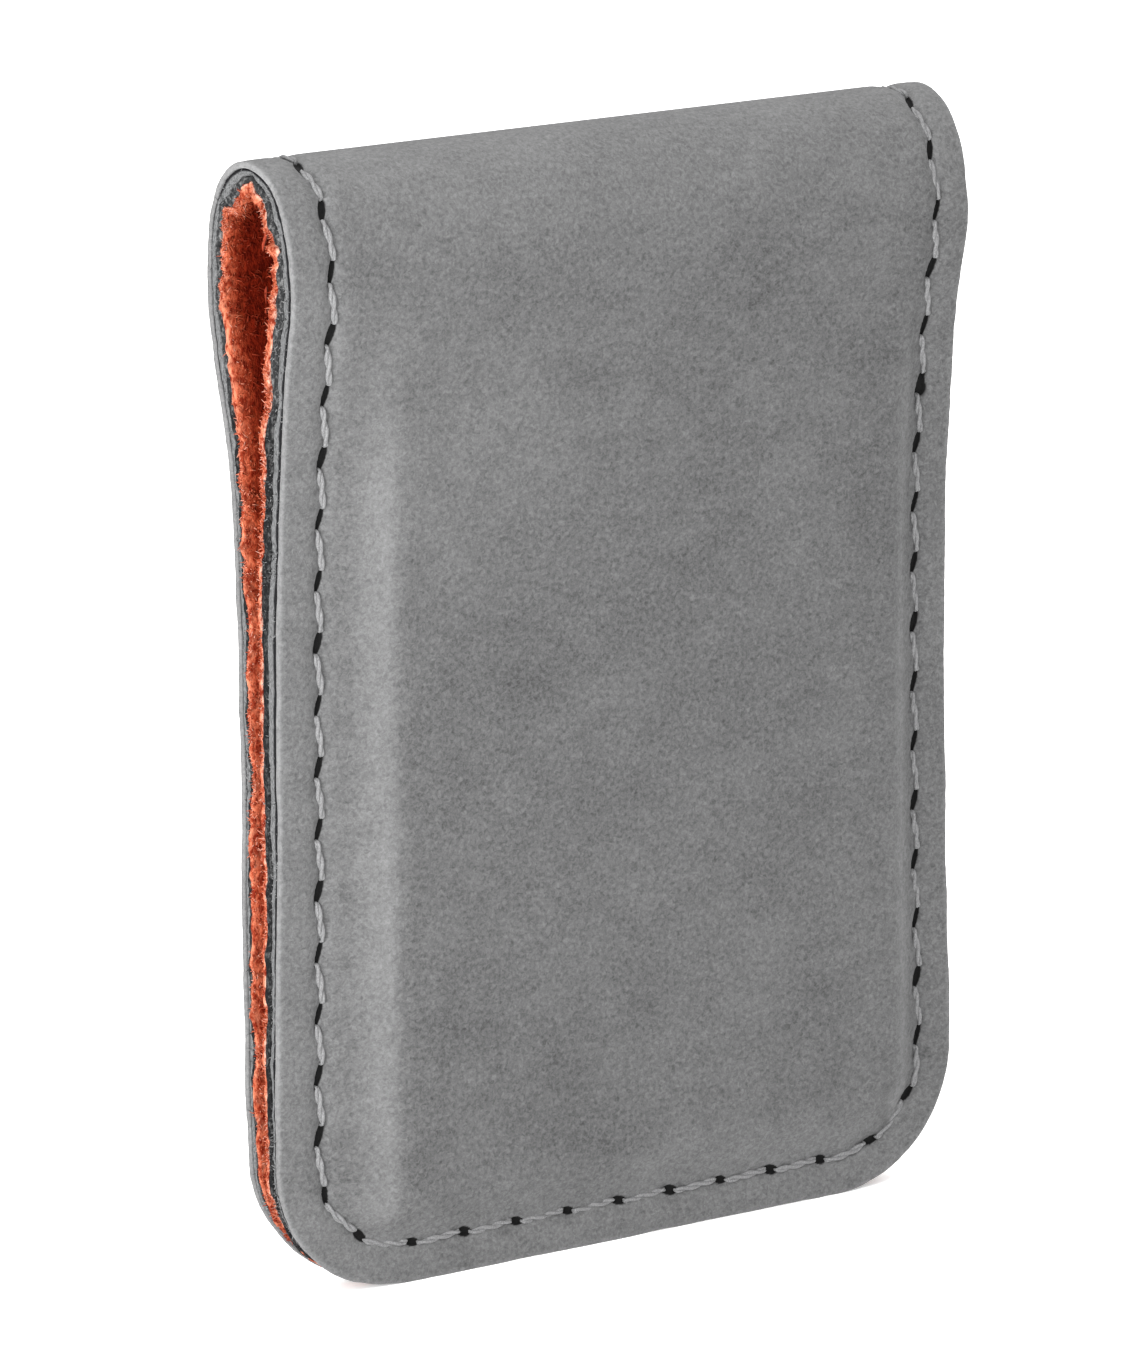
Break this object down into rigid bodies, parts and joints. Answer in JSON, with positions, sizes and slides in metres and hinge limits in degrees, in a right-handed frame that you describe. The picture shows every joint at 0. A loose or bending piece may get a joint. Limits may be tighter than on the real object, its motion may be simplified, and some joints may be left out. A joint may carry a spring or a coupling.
{
  "type": "magnetic money clip",
  "caption": "Folded leatherette money clip with a soft suede-like lining, stitched edges and a raised magnetic panel on each leaf; it opens at the fold.",
  "frame": {"origin": "middle of the closed clip's two free ends, on the plane they stand on", "axes": "+Z from the free ends up to the fold, +Y through the back leaf, -Y through the front leaf, X along the fold"},
  "size_m": [0.0446, 0.0092, 0.0633],
  "materials": {
    "cover": "matte grey leatherette with a fine speckled grain",
    "backing": "grey knit backing, raw cut edge",
    "interlining": "near-black non-woven interlining, raw cut edge",
    "lining": "napped suede-like cloth, orange red, fuzzy cut edge",
    "thread": "pale grey twisted polyester sewing thread",
    "lining_thread": "orange red sewing thread matched to the lining",
    "board": "pressed fibre board",
    "magnet": "nickel plated bar magnet"
  },
  "bodies": {
    "back_leaf": {"cover_back": "cover", "backing_back": "backing", "interlining_back": "interlining", "lining_back": "lining", "needle_stitches_back": "thread", "bobbin_stitches_back": "lining_thread", "insert_board_back": "board", "magnet_back_lower": "magnet", "magnet_back_upper": "magnet", "cover_fold": "cover", "backing_fold": "backing", "interlining_fold": "interlining", "lining_fold": "lining", "needle_stitches_fold": "thread", "bobbin_stitches_fold": "lining_thread"},
    "front_leaf": {"cover_front": "cover", "backing_front": "backing", "interlining_front": "interlining", "lining_front": "lining", "needle_stitches_front": "thread", "bobbin_stitches_front": "lining_thread", "insert_board_front": "board", "magnet_front_lower": "magnet", "magnet_front_upper": "magnet"}
  },
  "joints": [
    {"name": "fold_flex", "type": "hinge", "parent": "back_leaf", "child": "front_leaf", "pos_m": [0, 0, 0.062], "axis": [-1, 0, 0], "range_deg": [0, 80], "stiffness_Nm_per_rad": 0.02, "springref_deg": -8.59, "deforming": ["cover_fold", "backing_fold", "interlining_fold", "lining_fold", "needle_stitches_fold", "bobbin_stitches_fold"]}
  ]
}
